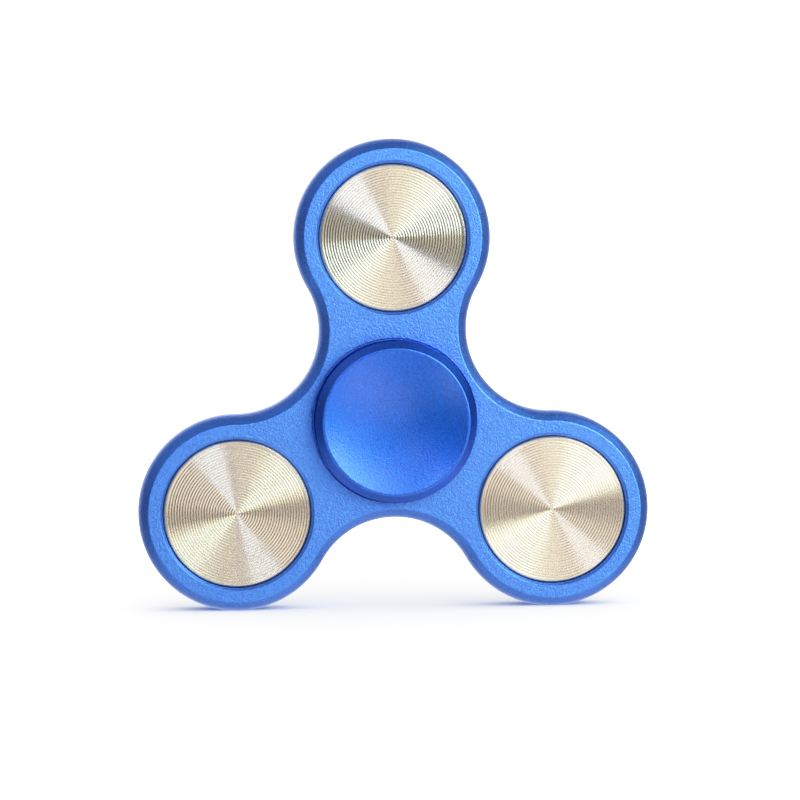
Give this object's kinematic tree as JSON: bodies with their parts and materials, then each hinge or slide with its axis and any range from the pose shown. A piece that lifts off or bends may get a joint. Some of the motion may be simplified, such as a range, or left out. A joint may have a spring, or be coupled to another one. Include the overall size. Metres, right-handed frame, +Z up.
{
  "type": "fidget spinner",
  "caption": "Three-lobed finger spinner: chamfered anodised frame on a sealed ball bearing, dished finger caps, and turned round weights set in the lobes.",
  "frame": {"origin": "centre of the ball bearing, on the spin axis at the frame's mid-plane; also the centre of mass of all solids", "axes": "+Y along the spin axis, with -Y the front that the picture shows; +Z up through the top lobe as the spinner stands on its two lower lobes; +X to the viewer's right"},
  "size_m": [0.0756, 0.0152, 0.0693],
  "materials": {
    "anodised_frame": "bead-blasted, anodised blue",
    "anodised_cap": "fine satin, anodised blue",
    "turned_steel": "face turned in fine concentric rings",
    "bearing_steel": "ground bearing steel",
    "shield_steel": "pressed sheet",
    "cage_steel": "pressed ribbon",
    "rivet_brass": "headed rivets",
    "ball_steel": "polished"
  },
  "bodies": {
    "finger_caps": {"front_cap": "anodised_cap", "rear_cap": "anodised_cap", "inner_ring": "bearing_steel"},
    "spinner": {"frame": "anodised_frame", "weight_front_top": "turned_steel", "weight_front_left": "turned_steel", "weight_front_right": "turned_steel", "weight_rear_top": "turned_steel", "weight_rear_left": "turned_steel", "weight_rear_right": "turned_steel", "outer_ring": "bearing_steel", "shield_front": "shield_steel", "shield_rear": "shield_steel"},
    "cage": {"cage_front": "cage_steel", "cage_rear": "cage_steel", "cage_rivets": "rivet_brass"},
    "ball_1": {"ball_1": "ball_steel"},
    "ball_2": {"ball_2": "ball_steel"},
    "ball_3": {"ball_3": "ball_steel"},
    "ball_4": {"ball_4": "ball_steel"},
    "ball_5": {"ball_5": "ball_steel"},
    "ball_6": {"ball_6": "ball_steel"},
    "ball_7": {"ball_7": "ball_steel"}
  },
  "joints": [
    {"name": "frame_spin", "type": "hinge", "parent": "finger_caps", "child": "spinner", "pos_m": [0, 0, 0], "axis": [0, 1, 0], "continuous": true},
    {"name": "cage_spin", "type": "hinge", "parent": "finger_caps", "child": "cage", "pos_m": [0, 0, 0], "axis": [0, 1, 0], "continuous": true},
    {"name": "ball_1_roll", "type": "hinge", "parent": "cage", "child": "ball_1", "pos_m": [0, 0, 0.0075], "axis": [0, 1, 0], "continuous": true},
    {"name": "ball_2_roll", "type": "hinge", "parent": "cage", "child": "ball_2", "pos_m": [-0.00586, 0, 0.00468], "axis": [0, 1, 0], "continuous": true},
    {"name": "ball_3_roll", "type": "hinge", "parent": "cage", "child": "ball_3", "pos_m": [-0.00731, 0, -0.00167], "axis": [0, 1, 0], "continuous": true},
    {"name": "ball_4_roll", "type": "hinge", "parent": "cage", "child": "ball_4", "pos_m": [-0.00325, 0, -0.00676], "axis": [0, 1, 0], "continuous": true},
    {"name": "ball_5_roll", "type": "hinge", "parent": "cage", "child": "ball_5", "pos_m": [0.00325, 0, -0.00676], "axis": [0, 1, 0], "continuous": true},
    {"name": "ball_6_roll", "type": "hinge", "parent": "cage", "child": "ball_6", "pos_m": [0.00731, 0, -0.00167], "axis": [0, 1, 0], "continuous": true},
    {"name": "ball_7_roll", "type": "hinge", "parent": "cage", "child": "ball_7", "pos_m": [0.00586, 0, 0.00468], "axis": [0, 1, 0], "continuous": true}
  ],
  "couplings": [
    {"joint": "cage_spin", "follows": "frame_spin", "ratio": 0.6323},
    {"joint": "ball_1_roll", "follows": "frame_spin", "ratio": 1.7573},
    {"joint": "ball_2_roll", "follows": "frame_spin", "ratio": 1.7573},
    {"joint": "ball_3_roll", "follows": "frame_spin", "ratio": 1.7573},
    {"joint": "ball_4_roll", "follows": "frame_spin", "ratio": 1.7573},
    {"joint": "ball_5_roll", "follows": "frame_spin", "ratio": 1.7573},
    {"joint": "ball_6_roll", "follows": "frame_spin", "ratio": 1.7573},
    {"joint": "ball_7_roll", "follows": "frame_spin", "ratio": 1.7573}
  ]
}
